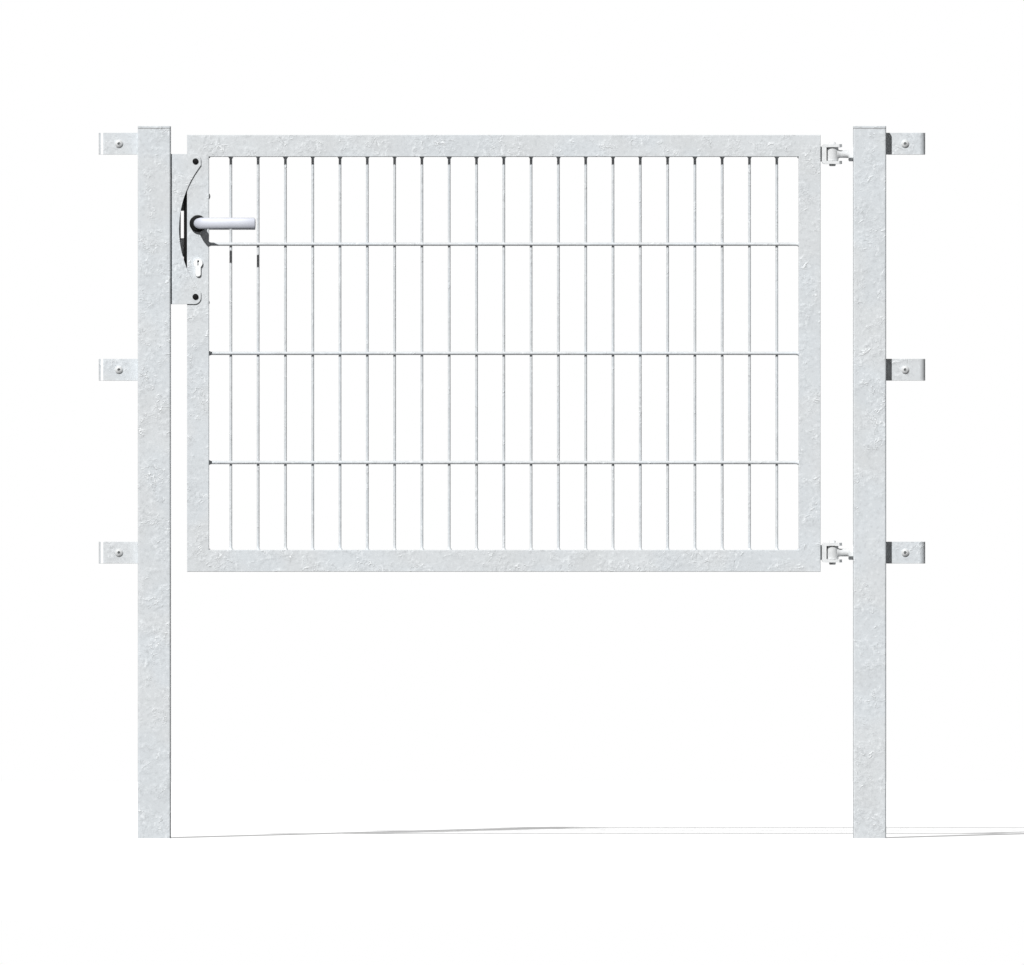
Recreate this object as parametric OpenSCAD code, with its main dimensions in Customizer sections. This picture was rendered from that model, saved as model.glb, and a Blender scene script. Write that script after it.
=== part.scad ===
// Single leaf garden gate: two square tube posts, a framed leaf with a welded
// double rod mat, eye bolt hinges, a lock with levers and a stop plate.
// Sizes are in mm. X runs to the right along the gate, Y to the back, Z up.
// The origin is on the bottom face of the lock post.

/* [Posts] */

// Width of each square post tube
post_w = 60; // [50:1:80]
// Wall of each post tube
post_wall = 2; // [1.5:0.5:4]
// Length of each post tube, from its foot to under its cap
post_len = 1300; // [1250:10:1400]
// Outer edge radius of the post tube
post_edge_r = 3; // [1.5:0.5:4]
// Thickness of the flat cap welded on each post
cap_t = 4; // [2:0.5:6]

/* [Leaf frame] */

// Width of the leaf
leaf_w = 1160; // [1090:1:1260]
// Height of the leaf
leaf_h = 800; // [700:1:850]
// Width of the square leaf tube
leaf_tube = 40; // [38:1:46]
// Wall of the leaf tube
leaf_wall = 2; // [1.5:0.5:3]
// Outer edge radius of the leaf tube
leaf_edge_r = 1; // [1:0.5:3]
// Gap between the lock post and the leaf
lock_gap = 30; // [28:1:36]
// Gap between the leaf and the hinge post
hinge_gap = 60; // [52:1:80]
// Drop from the top of the post caps to the top of the leaf
leaf_drop = 16; // [10:1:40]

/* [Double rod mat] */

// Distance between upright rods
rod_pitch = 50; // [45:1:100]
// Diameter of the upright rods
upright_d = 5; // [4:0.5:8]
// Diameter of the cross rods, one in front and one behind
cross_d = 6; // [5:0.5:8]
// Distance between the levels of cross rods
cross_pitch = 200; // [150:5:220]
// Number of levels of cross rods
cross_levels = 3; // [2:1:3]
// Diameter of the weld at each rod end
weld_d = 9; // [8:0.5:12]
// Depth of the weld at each rod end
weld_t = 3.5; // [1:0.5:5]

/* [Hinges] */

// Distance of the pin axis from the edge of the leaf
hinge_out = 22; // [20:0.5:26]
// Distance of each pin's middle from the top or bottom of the leaf
hinge_inset = 35; // [30:1:120]
// Diameter of the hinge pin
pin_d = 12; // [10:0.5:14]
// Radial clearance of the pin in the eye
pin_play = 0.05; // [0.02:0.01:0.1]
// Outer diameter of the eye
eye_d = 22; // [18:0.5:24]
// Height of the eye
eye_h = 24.5; // [20:0.5:30]
// Play of the eye between the ears, on each side
eye_play = 0.3; // [0.2:0.05:1]
// Diameter of the eye's rod
eye_rod_d = 14; // [12:0.5:16]
// Length of the eye's rod inside the post
eye_rod_in = 20; // [10:1:40]
// Width of the lock nut across its flats
nut_af = 23; // [21:0.5:27]
// Thickness of the lock nut
nut_t = 8.8; // [6:0.2:12]
// Thickness of the clevis ears
ear_t = 5.5; // [4:0.5:7]
// Width of the clevis
clevis_w = 28; // [26:1:38]
// Reach of the clevis ears beyond the pin axis
ear_out = 17.6; // [16:0.2:22]
// Radius of the ears' rounded ends
ear_r = 22; // [20:1:30]
// Thickness of the clevis back
clevis_back_t = 7.5; // [5:0.5:8]
// Depth of the foot that welds the clevis to the leaf
clevis_foot_t = 2.5; // [1:0.5:3]
// Width of that foot
clevis_foot_w = 24; // [20:1:25]
// Length of the pin beyond each ear
pin_out = 4; // [2:0.5:8]

/* [Lever handle] */

// Height of the lever's axis under the top of the leaf
handle_drop = 162.5; // [150:0.5:200]
// Diameter of the black rosette
rosette_d = 31; // [28:0.5:36]
// Thickness of the rosette
rosette_t = 8; // [5:0.5:12]
// Diameter of the lever's neck
neck_d = 15; // [11:0.5:16]
// Distance of the lever's middle from the leaf, at the neck
lever_off = 51.5; // [45:0.5:65]
// Angle at which the lever leans away from the leaf
lever_lean = 7; // [0:0.5:12]
// Height of the lever
lever_h = 20.7; // [18:0.1:24]
// Thickness of the lever
lever_t = 12; // [10:0.5:16]
// Reach of the lever from its axis
lever_reach = 104; // [90:1:130]
// Reach of the lever's rounded end behind its axis
lever_back = 7.8; // [5:0.1:9]
// Width of the square spindle
spindle_w = 8; // [7:0.5:9]
// Radial clearance of the neck in the rosette
neck_play = 0.1; // [0.05:0.01:0.3]

/* [Lock] */

// Distance from the lever's axis down to the key's axis
key_drop = 72.5; // [70:0.5:92]
// Diameter of the cylinder's round head
cylinder_d = 17; // [16:0.5:18]
// Width of the cylinder's stem
cylinder_stem = 10; // [9:0.5:11]
// Height of the cylinder from its top to the end of its stem
cylinder_h = 33; // [30:0.5:35]
// Length of the cylinder that stands out of the leaf on each side
cylinder_out = 4; // [2:0.5:8]
// Height of the lock's face plate
face_h = 240; // [200:1:255]
// Width of the face plate
face_w = 24; // [20:0.5:30]
// Thickness of the face plate, standing out of the leaf
face_t = 6; // [3:0.5:7]
// Height of the face plate's middle above the lever's axis
face_up = -23.5; // [-30:0.5:-10]
// Height of the latch
latch_h = 26; // [22:1:30]
// Thickness of the latch
latch_t = 12; // [10:0.5:14]
// Distance from the lever's axis up to the latch
latch_up = 23.5; // [22:0.5:30]
// Height of the dead bolt
bolt_h = 34; // [30:1:38]
// Thickness of the dead bolt
bolt_t = 9; // [8:0.5:12]
// Distance from the lever's axis down to the dead bolt
bolt_down = 26.5; // [23:0.5:28]
// Reach of the latch and dead bolt out of the face plate
throw = 16; // [14:0.5:18]
// Gap around the latch and dead bolt in the face plate
bolt_play = 0.3; // [0.2:0.05:1]

/* [Stop plate] */

// Thickness of the stop plate
stop_t = 2; // [1.5:0.5:2]
// Height of the stop plate
stop_h = 275; // [265:1:300]
// Height of the stop plate's middle under the top of the leaf
stop_drop = 172.5; // [160:0.5:190]
// Reach of the stop plate from the post
stop_w = 55.5; // [54:0.5:62]
// Depth of the front of the stop plate behind the front of the post
stop_in = 7.3; // [5:0.1:7.5]
// Radius of the hollow cut out of the stop plate
hollow_r = 190; // [170:1:200]
// Distance from the post to the deepest point of the hollow
hollow_x = 15.6; // [12:0.1:18]
// Radius of the stop plate's outer corners
stop_corner_r = 12; // [6:1:14]
// Radius of the bend
stop_bend_r = 4; // [3.5:0.5:6]
// Reach of the strike lip behind the bolts, from the post
lip_reach = 18.2; // [15:0.1:18.5]
// Height of the strike lip above the latch and below the dead bolt
lip_over = 16; // [8:1:30]
// Gap between the latch and the strike lip
lip_gap = 2; // [1:0.5:4]
// Distance from the post to the rubber buffers
buffer_x = 45.5; // [44:0.5:47]
// Distance of the buffers from the upper and lower ends of the stop plate
buffer_inset = 13.5; // [11:0.5:16]
// Diameter of the buffer's front button
button_d = 11; // [8:0.5:12]
// Thickness of the buffer's front button
button_t = 2.5; // [2:0.5:4]
// Diameter of the buffer's pad behind the plate
pad_d = 16; // [12:1:20]
// Diameter of the buffer's neck in the plate
buffer_neck_d = 7; // [5:0.5:8]
// Gap between the buffer pads and the closed leaf
buffer_gap = 0.3; // [0.2:0.05:1]

/* [Fence clamps] */

// Height of each clamp bracket
clamp_h = 40; // [30:1:50]
// Reach of each clamp bracket from the post
clamp_w = 72; // [66:1:90]
// Thickness of the clamp bracket
clamp_t = 3; // [2:0.5:4]
// Depth of the bracket's front face behind the front of the post
clamp_in = 24.5; // [20:0.5:28]
// Outer radius of the bracket's bent end
clamp_bend_r = 11; // [8:0.5:12]
// Distance of the clamp plate from the post
clamp_plate_in = 3; // [1:0.5:5]
// Gap between the clamp plate and the bracket's bent end
clamp_plate_out = 1; // [1:0.5:4]
// Gap for the fence rods between the bracket and its clamp plate
clamp_gap = 5.5; // [4.5:0.5:8]
// Thickness of the clamp plate
clamp_plate_t = 4; // [3:0.5:5]
// Distance from the post to the clamp screw
clamp_screw_x = 35; // [30:1:38]
// Diameter of the clamp screw's shank
clamp_screw_d = 8; // [6:0.5:10]
// Diameter of the clamp screw's button head
clamp_head_d = 14.5; // [12:0.5:17]
// Thickness of the clamp screw's button head
clamp_head_t = 4.4; // [3.5:0.1:5.5]
// Distance of the upper clamps under the top of the post caps
clamp_top_drop = 32; // [26:1:60]
// Height of the middle clamps above the foot of the posts
clamp_mid_z = 858; // [750:1:950]
// Height of the lower clamps above the foot of the posts
clamp_low_z = 523; // [450:1:600]

/* [View] */

// The piece to show, or all of them

/* [Hidden] */

$fn = 96;
eps = 0.02;
post_top = post_len + cap_t;
opening_w = lock_gap + leaf_w + hinge_gap;
post_x2 = opening_w + post_w;
leaf_x1 = post_w / 2 + lock_gap;
leaf_x2 = leaf_x1 + leaf_w;
leaf_top = post_top - leaf_drop;
leaf_bot = leaf_top - leaf_h;
half = leaf_tube / 2;
hinge_x = leaf_x2 + hinge_out;
hinge_top_z = leaf_top - hinge_inset;
hinge_low_z = leaf_bot + hinge_inset;
clevis_h = eye_h + 2 * eye_play + 2 * ear_t;
upright_n = floor((leaf_w - 2 * leaf_tube - 50) / rod_pitch) + 1;
upright_x0 = (leaf_x1 + leaf_x2) / 2 - (upright_n - 1) * rod_pitch / 2;
cross_y = (upright_d + cross_d) / 2 - 0.6;
handle_x = leaf_x1 + half;
handle_z = leaf_top - handle_drop;
key_z = handle_z - key_drop;
face_z = handle_z + face_up;
latch_z = handle_z + latch_up + latch_h / 2;
bolt_z = handle_z - bolt_down - bolt_h / 2;
tip_x = leaf_x1 - face_t - throw;
stop_z = leaf_top - stop_drop;
stop_x = post_w / 2;
stop_y = -post_w / 2 + stop_in;
buffer_z = stop_h / 2 - buffer_inset;
lip_z1 = bolt_z - bolt_h / 2 - lip_over;
lip_z2 = latch_z + latch_h / 2 + lip_over;
lip_y = latch_t / 2 + lip_gap;
clamp_y = -post_w / 2 + clamp_in;
clamp_top_z = post_top - clamp_top_drop;
steel = [0.72, 0.74, 0.75];
bright = [0.80, 0.81, 0.83];
black = [0.05, 0.05, 0.06];

// Outline of a square with rounded edges
module round_square(w, r) {
    square([w - 2 * r, w], center = true);
    square([w, w - 2 * r], center = true);
    for (a = [-1, 1], b = [-1, 1]) {
        translate([a * (w / 2 - r), b * (w / 2 - r)]) circle(r);
    }
}

// Square tube standing on z = 0
module square_tube(w, wall, r, len) {
    linear_extrude(len) difference() {
        round_square(w, r);
        square(w - 2 * wall, center = true);
    }
}

module post_tube() {
    square_tube(post_w, post_wall, post_edge_r, post_len);
}

module post_cap() {
    translate([0, 0, post_len]) linear_extrude(cap_t) round_square(post_w, post_edge_r);
}

module lock_post() {
    color(steel) post_tube();
}

module lock_post_cap() {
    color(steel) post_cap();
}

module hinge_post() {
    color(steel) translate([post_x2, 0, 0]) difference() {
        post_tube();
        for (z = [hinge_top_z, hinge_low_z]) {
            translate([-post_w / 2 - 1, 0, z]) rotate([0, 90, 0])
                cylinder(d = eye_rod_d + 0.4, h = post_wall + 2);
        }
    }
}

module hinge_post_cap() {
    color(steel) translate([post_x2, 0, 0]) post_cap();
}

// Stop plate: a sheet bent along the post, with a lip behind the latch and dead bolt
module stop_profile_front() {
    translate([stop_x + stop_bend_r, stop_y])
        square([stop_w - stop_bend_r, stop_t]);
    translate([stop_x, stop_y + stop_bend_r])
        square([stop_t, lip_y + stop_t - stop_y - stop_bend_r]);
    intersection() {
        translate([stop_x + stop_bend_r, stop_y + stop_bend_r]) difference() {
            circle(stop_bend_r);
            circle(stop_bend_r - stop_t);
        }
        translate([stop_x, stop_y]) square([stop_bend_r + eps, stop_bend_r + eps]);
    }
}

module stop_outline() {
    difference() {
        translate([stop_x - 1, stop_z - stop_h / 2]) union() {
            square([stop_w + 1 - stop_corner_r, stop_h]);
            translate([0, stop_corner_r])
                square([stop_w + 1, stop_h - 2 * stop_corner_r]);
            for (z = [stop_corner_r, stop_h - stop_corner_r]) {
                translate([stop_w + 1 - stop_corner_r, z]) circle(stop_corner_r);
            }
        }
        translate([stop_x + hollow_x + hollow_r, stop_z]) circle(hollow_r, $fn = 200);
    }
}

module stop_plate() {
    color(steel) union() {
        difference() {
            intersection() {
                translate([0, 0, stop_z - stop_h / 2]) linear_extrude(stop_h)
                    stop_profile_front();
                translate([0, post_w, 0]) rotate([90, 0, 0]) linear_extrude(2 * post_w)
                    stop_outline();
            }
            for (s = [-1, 1]) {
                translate([stop_x + buffer_x, stop_y - 1, stop_z + s * buffer_z])
                    rotate([-90, 0, 0]) cylinder(d = buffer_neck_d, h = stop_t + 2);
            }
        }
        translate([stop_x + stop_t - eps, lip_y, lip_z1])
            cube([lip_reach - stop_t + eps, stop_t, lip_z2 - lip_z1]);
    }
}

module buffer(s) {
    translate([stop_x + buffer_x, stop_y, stop_z + s * buffer_z]) rotate([-90, 0, 0])
        rotate_extrude() {
            translate([0, -button_t]) square([button_d / 2 - 1.5, button_t]);
            translate([0, -button_t + 1.5]) square([button_d / 2, button_t - 1.5]);
            intersection() {
                translate([button_d / 2 - 1.5, -button_t + 1.5]) circle(1.5);
                translate([0, -button_t]) square([button_d, button_t]);
            }
            translate([0, -eps]) square([buffer_neck_d / 2 - 0.02, stop_t + 2 * eps]);
            translate([0, stop_t])
                square([pad_d / 2, -leaf_tube / 2 - stop_y - stop_t - buffer_gap]);
        }
}

module upper_buffer() {
    color(black) buffer(1);
}

module lower_buffer() {
    color(black) buffer(-1);
}

// Fence clamps. Side is -1 at the lock post and 1 at the hinge post
module at_clamp(side, z) {
    translate([side < 0 ? -post_w / 2 : post_x2 + post_w / 2, 0, z])
        mirror([side < 0 ? 1 : 0, 0, 0]) children();
}

module bracket(side, z) {
    straight_y = clamp_y + clamp_bend_r;
    end_y = clamp_y + clamp_t + clamp_gap + clamp_plate_t;
    color(steel) at_clamp(side, z) difference() {
        translate([0, 0, -clamp_h / 2]) linear_extrude(clamp_h) union() {
            translate([0, clamp_y]) square([clamp_w - clamp_bend_r, clamp_t]);
            translate([clamp_w - clamp_t, straight_y]) square([clamp_t, end_y - straight_y]);
            intersection() {
                translate([clamp_w - clamp_bend_r, straight_y]) difference() {
                    circle(clamp_bend_r);
                    circle(clamp_bend_r - clamp_t);
                }
                translate([clamp_w - clamp_bend_r - eps, clamp_y])
                    square([clamp_bend_r + eps, clamp_bend_r + eps]);
            }
        }
        translate([clamp_screw_x, clamp_y - 1, 0]) rotate([-90, 0, 0])
            cylinder(d = clamp_screw_d + 0.6, h = clamp_t + 2);
    }
}

module clamp_plate(side, z) {
    plate_len = clamp_w - clamp_t - clamp_plate_in - clamp_plate_out;
    color(steel) at_clamp(side, z) difference() {
        translate([clamp_plate_in, clamp_y + clamp_t + clamp_gap, -clamp_h / 2])
            cube([plate_len, clamp_plate_t, clamp_h]);
        translate([clamp_screw_x, clamp_y, 0]) rotate([-90, 0, 0])
            cylinder(d = clamp_screw_d + 0.6, h = 40);
    }
}

module clamp_screw(side, z) {
    grip = clamp_t + clamp_gap + clamp_plate_t;
    color(bright) at_clamp(side, z) translate([clamp_screw_x, clamp_y, 0])
        rotate([-90, 0, 0]) union() {
            difference() {
                rotate_extrude() union() {
                    intersection() {
                        translate([0, 5.5]) circle(5.5 + clamp_head_t);
                        translate([0, -clamp_head_t]) square([clamp_head_d / 2, clamp_head_t]);
                    }
                    translate([0, -eps]) square([clamp_screw_d / 2, grip + 9]);
                }
                translate([0, 0, -clamp_head_t - 1])
                    cylinder(d = 5 / cos(30), h = 3.4, $fn = 6);
            }
            translate([0, 0, grip]) difference() {
                cylinder(d = 13 / cos(30), h = 6.5, $fn = 6);
                translate([0, 0, -1]) cylinder(d = clamp_screw_d - 0.2, h = 9);
            }
        }
}

module lock_post_upper_bracket() {
    bracket(-1, clamp_top_z);
}

module lock_post_middle_bracket() {
    bracket(-1, clamp_mid_z);
}

module lock_post_lower_bracket() {
    bracket(-1, clamp_low_z);
}

module hinge_post_upper_bracket() {
    bracket(1, clamp_top_z);
}

module hinge_post_middle_bracket() {
    bracket(1, clamp_mid_z);
}

module hinge_post_lower_bracket() {
    bracket(1, clamp_low_z);
}

module lock_post_upper_clamp_plate() {
    clamp_plate(-1, clamp_top_z);
}

module lock_post_middle_clamp_plate() {
    clamp_plate(-1, clamp_mid_z);
}

module lock_post_lower_clamp_plate() {
    clamp_plate(-1, clamp_low_z);
}

module hinge_post_upper_clamp_plate() {
    clamp_plate(1, clamp_top_z);
}

module hinge_post_middle_clamp_plate() {
    clamp_plate(1, clamp_mid_z);
}

module hinge_post_lower_clamp_plate() {
    clamp_plate(1, clamp_low_z);
}

module lock_post_upper_clamp_screw() {
    clamp_screw(-1, clamp_top_z);
}

module lock_post_middle_clamp_screw() {
    clamp_screw(-1, clamp_mid_z);
}

module lock_post_lower_clamp_screw() {
    clamp_screw(-1, clamp_low_z);
}

module hinge_post_upper_clamp_screw() {
    clamp_screw(1, clamp_top_z);
}

module hinge_post_middle_clamp_screw() {
    clamp_screw(1, clamp_mid_z);
}

module hinge_post_lower_clamp_screw() {
    clamp_screw(1, clamp_low_z);
}

// Eye bolt: a bored eye on a rod that goes through the post's wall
module eye_bolt(z) {
    rod_end = post_x2 - post_w / 2 + eye_rod_in;
    color(bright) translate([hinge_x, 0, z]) difference() {
        union() {
            translate([0, 0, -eye_h / 2]) cylinder(d = eye_d, h = eye_h);
            rotate([0, 90, 0]) cylinder(d = eye_rod_d, h = rod_end - hinge_x);
        }
        translate([0, 0, -eye_h]) cylinder(d = pin_d + 2 * pin_play, h = 2 * eye_h);
    }
}

module upper_eye_bolt() {
    eye_bolt(hinge_top_z);
}

module lower_eye_bolt() {
    eye_bolt(hinge_low_z);
}

// Hexagon lock nut with chamfered corners, against the post
module lock_nut(z) {
    color(bright) translate([post_x2 - post_w / 2 - nut_t, 0, z]) rotate([0, 90, 0])
        difference() {
            intersection() {
                cylinder(d = nut_af / cos(30), h = nut_t, $fn = 6);
                rotate_extrude() polygon([
                    [0, 0],
                    [nut_af / 2, 0],
                    [nut_af / 2 + 2, 1.4],
                    [nut_af / 2 + 2, nut_t],
                    [0, nut_t]
                ]);
            }
            translate([0, 0, -1]) cylinder(d = eye_rod_d + 0.04, h = nut_t + 2);
        }
}

module upper_lock_nut() {
    lock_nut(hinge_top_z);
}

module lower_lock_nut() {
    lock_nut(hinge_low_z);
}

// Leaf frame: four tubes, mitred at the corners
module stile_tube() {
    translate([0, 0, leaf_bot]) intersection() {
        square_tube(leaf_tube, leaf_wall, leaf_edge_r, leaf_h);
        translate([0, leaf_tube, 0]) rotate([90, 0, 0]) linear_extrude(2 * leaf_tube)
            polygon([
                [-half, 0],
                [half, leaf_tube],
                [half, leaf_h - leaf_tube],
                [-half, leaf_h]
            ]);
    }
}

module rail_tube() {
    translate([leaf_x1, 0, 0]) intersection() {
        rotate([0, 90, 0]) square_tube(leaf_tube, leaf_wall, leaf_edge_r, leaf_w);
        translate([0, leaf_tube, 0]) rotate([90, 0, 0]) linear_extrude(2 * leaf_tube)
            polygon([
                [0, half],
                [leaf_tube, -half],
                [leaf_w - leaf_tube, -half],
                [leaf_w, half]
            ]);
    }
}

module bolt_window(z, h, t, grow) {
    translate([0, 0, z]) cube([4 * face_t + 20, t + 2 * grow, h + 2 * grow], center = true);
}

module cylinder_outline(grow) {
    circle(cylinder_d / 2 + grow);
    translate([-cylinder_stem / 2 - grow, -(cylinder_h - cylinder_d / 2 - cylinder_stem / 2)])
        square([cylinder_stem + 2 * grow, cylinder_h - cylinder_d / 2 - cylinder_stem / 2]);
    translate([0, -(cylinder_h - cylinder_d / 2 - cylinder_stem / 2)])
        circle(cylinder_stem / 2 + grow);
}

module lock_stile() {
    color(steel) difference() {
        translate([handle_x, 0, 0]) stile_tube();
        translate([leaf_x1, 0, 0]) intersection() {
            union() {
                bolt_window(latch_z, latch_h, latch_t, 1);
                bolt_window(bolt_z, bolt_h, bolt_t, 1);
            }
            translate([-half, -half, 0]) cube([leaf_tube - leaf_wall - 1, leaf_tube, leaf_top]);
        }
        translate([handle_x, leaf_tube, handle_z]) rotate([90, 0, 0])
            cylinder(d = neck_d + 3, h = 2 * leaf_tube);
        translate([handle_x, leaf_tube, key_z]) rotate([90, 0, 0])
            linear_extrude(2 * leaf_tube) cylinder_outline(0.3);
    }
}

module hinge_stile() {
    color(steel) translate([leaf_x2 - half, 0, 0]) mirror([1, 0, 0]) stile_tube();
}

module top_rail() {
    color(steel) translate([0, 0, leaf_top - half]) rail_tube();
}

module bottom_rail() {
    color(steel) translate([0, 0, leaf_bot + half]) mirror([0, 0, 1]) rail_tube();
}

// Mat of welded rods: uprights between two cross rods at each level
module rod_mat() {
    z0 = leaf_bot + leaf_tube;
    z1 = leaf_top - leaf_tube;
    x0 = leaf_x1 + leaf_tube;
    x1 = leaf_x2 - leaf_tube;
    color(steel) union() {
        for (i = [0 : upright_n - 1]) {
            translate([upright_x0 + i * rod_pitch, 0, 0]) {
                translate([0, 0, z0]) cylinder(d = upright_d, h = z1 - z0, $fn = 12);
                translate([0, 0, z0])
                    cylinder(d1 = weld_d, d2 = upright_d, h = weld_t, $fn = 12);
                translate([0, 0, z1 - weld_t])
                    cylinder(d1 = upright_d, d2 = weld_d, h = weld_t, $fn = 12);
            }
        }
        for (k = [1 : cross_levels], s = [-1, 1]) {
            translate([0, s * cross_y, leaf_top - k * cross_pitch]) rotate([0, 90, 0]) {
                translate([0, 0, x0]) cylinder(d = cross_d, h = x1 - x0, $fn = 12);
                translate([0, 0, x0])
                    cylinder(d1 = weld_d, d2 = cross_d, h = weld_t, $fn = 12);
                translate([0, 0, x1 - weld_t])
                    cylinder(d1 = cross_d, d2 = weld_d, h = weld_t, $fn = 12);
            }
        }
    }
}

// Clevis: a thick bent strap on a foot welded to the hinge stile
module clevis(z) {
    half_w = clevis_w / 2;
    end_x = hinge_x + ear_out;
    back_x = leaf_x2 + clevis_foot_t;
    bend_r = 5;
    gap = eye_h + 2 * eye_play;
    color(bright) difference() {
        union() {
            translate([leaf_x2, -clevis_foot_w / 2, z - gap / 2 - 1])
                cube([clevis_foot_t + 1, clevis_foot_w, gap + 2]);
            intersection() {
                translate([0, half_w, z]) rotate([90, 0, 0]) linear_extrude(clevis_w) union() {
                    translate([back_x, -clevis_h / 2 + bend_r])
                        square([end_x - back_x, clevis_h - 2 * bend_r]);
                    translate([back_x + bend_r, -clevis_h / 2])
                        square([end_x - back_x, clevis_h]);
                    for (s = [-1, 1]) {
                        translate([back_x + bend_r, s * (clevis_h / 2 - bend_r)])
                            circle(bend_r);
                    }
                }
                translate([0, 0, z - clevis_h]) linear_extrude(2 * clevis_h)
                    intersection() {
                        translate([back_x, -half_w]) square([end_x - back_x, clevis_w]);
                        union() {
                            translate([end_x - ear_r, 0]) circle(ear_r, $fn = 120);
                            translate([back_x, -half_w])
                                square([end_x - ear_r - back_x, clevis_w]);
                        }
                    }
            }
        }
        translate([back_x + clevis_back_t, -50, z - gap / 2])
            cube([100, 100, gap]);
        translate([hinge_x, 0, z - clevis_h]) cylinder(d = pin_d + 0.02, h = 2 * clevis_h);
    }
}

module upper_clevis() {
    clevis(hinge_top_z);
}

module lower_clevis() {
    clevis(hinge_low_z);
}

module hinge_pin(z) {
    half_l = clevis_h / 2 + pin_out;
    color(bright) translate([hinge_x, 0, z]) rotate_extrude() polygon([
        [0, -half_l],
        [pin_d / 2 - 1, -half_l],
        [pin_d / 2, -half_l + 1],
        [pin_d / 2, half_l - 1],
        [pin_d / 2 - 1, half_l],
        [0, half_l]
    ]);
}

module upper_hinge_pin() {
    hinge_pin(hinge_top_z);
}

module lower_hinge_pin() {
    hinge_pin(hinge_low_z);
}

// Lock: face plate, latch, dead bolt and profile cylinder
module lock_face_plate() {
    color(black) difference() {
        translate([leaf_x1 - face_t, -face_w / 2, face_z - face_h / 2])
            cube([face_t, face_w, face_h]);
        translate([leaf_x1, 0, 0]) {
            bolt_window(latch_z, latch_h, latch_t, bolt_play);
            bolt_window(bolt_z, bolt_h, bolt_t, bolt_play);
        }
    }
}

module latch() {
    color(bright) translate([0, 0, latch_z - latch_h / 2]) linear_extrude(latch_h)
        polygon([
            [tip_x, latch_t / 2],
            [tip_x, latch_t / 2 - 3],
            [tip_x + throw - 3, -latch_t / 2],
            [leaf_x1 + 12, -latch_t / 2],
            [leaf_x1 + 12, latch_t / 2]
        ]);
}

module dead_bolt() {
    color(bright) translate([tip_x, -bolt_t / 2, bolt_z - bolt_h / 2])
        cube([leaf_x1 + 12 - tip_x, bolt_t, bolt_h]);
}

module lock_cylinder() {
    color(bright) translate([handle_x, 0, key_z]) difference() {
        translate([0, half + cylinder_out, 0]) rotate([90, 0, 0])
            linear_extrude(leaf_tube + 2 * cylinder_out) cylinder_outline(0);
        for (s = [-1, 1]) {
            translate([0, s * (half + cylinder_out), 0])
                cube([1.4, 4, 8], center = true);
            translate([0, s * (half + cylinder_out), 2.5])
                cube([2.4, 4, 2.4], center = true);
        }
    }
}

// Rosettes, levers and the spindle that joins them
module rosette() {
    translate([handle_x, -half - rosette_t, handle_z]) rotate([-90, 0, 0]) difference() {
        rotate_extrude() polygon([
            [0, 0],
            [rosette_d / 2 - 2, 0],
            [rosette_d / 2, 2],
            [rosette_d / 2, rosette_t],
            [0, rosette_t]
        ]);
        translate([0, 0, -1]) cylinder(d = neck_d + 2 * neck_play, h = rosette_t + 2);
    }
}

module front_rosette() {
    color(black) rosette();
}

module rear_rosette() {
    color(black) mirror([0, 1, 0]) rosette();
}

module lever() {
    end_r = lever_h / 2;
    base_y = -half - lever_off;
    color(bright) translate([handle_x, 0, handle_z]) union() {
        translate([0, -half - 0.5, 0]) rotate([90, 0, 0])
            cylinder(d = neck_d, h = lever_off - 0.5);
        intersection() {
            translate([0, base_y, 0]) rotate([0, 0, -lever_lean])
                translate([-lever_h, 0, 0]) rotate([90, 0, 90])
                    linear_extrude(lever_reach + 3 * lever_h)
                    union() {
                        for (s = [-1, 1]) {
                            translate([0, s * (lever_h - lever_t) / 2]) circle(d = lever_t);
                        }
                        square([lever_t, lever_h - lever_t], center = true);
                    }
            rotate([90, 0, 0]) linear_extrude(3 * lever_off) union() {
                translate([end_r - lever_back, 0]) circle(end_r);
                translate([end_r - lever_back, -end_r])
                    square([lever_reach - end_r + lever_back, lever_h]);
            }
        }
    }
}

module front_lever() {
    lever();
}

module rear_lever() {
    mirror([0, 1, 0]) lever();
}

module handle_spindle() {
    color(bright) translate([handle_x, 0, handle_z])
        cube([spindle_w, 2 * half + 1, spindle_w], center = true);
}

lock_post();
lock_post_cap();
hinge_post();
hinge_post_cap();
stop_plate();
upper_buffer();
lower_buffer();
lock_post_upper_bracket();
lock_post_middle_bracket();
lock_post_lower_bracket();
hinge_post_upper_bracket();
hinge_post_middle_bracket();
hinge_post_lower_bracket();
lock_post_upper_clamp_plate();
lock_post_middle_clamp_plate();
lock_post_lower_clamp_plate();
hinge_post_upper_clamp_plate();
hinge_post_middle_clamp_plate();
hinge_post_lower_clamp_plate();
lock_post_upper_clamp_screw();
lock_post_middle_clamp_screw();
lock_post_lower_clamp_screw();
hinge_post_upper_clamp_screw();
hinge_post_middle_clamp_screw();
hinge_post_lower_clamp_screw();
upper_eye_bolt();
lower_eye_bolt();
upper_lock_nut();
lower_lock_nut();
lock_stile();
hinge_stile();
top_rail();
bottom_rail();
rod_mat();
upper_clevis();
lower_clevis();
upper_hinge_pin();
lower_hinge_pin();
lock_face_plate();
lock_cylinder();
front_rosette();
rear_rosette();
front_lever();
rear_lever();
handle_spindle();
latch();
dead_bolt();
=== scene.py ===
import math

import bmesh
import bpy
from mathutils import Matrix, Vector


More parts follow.
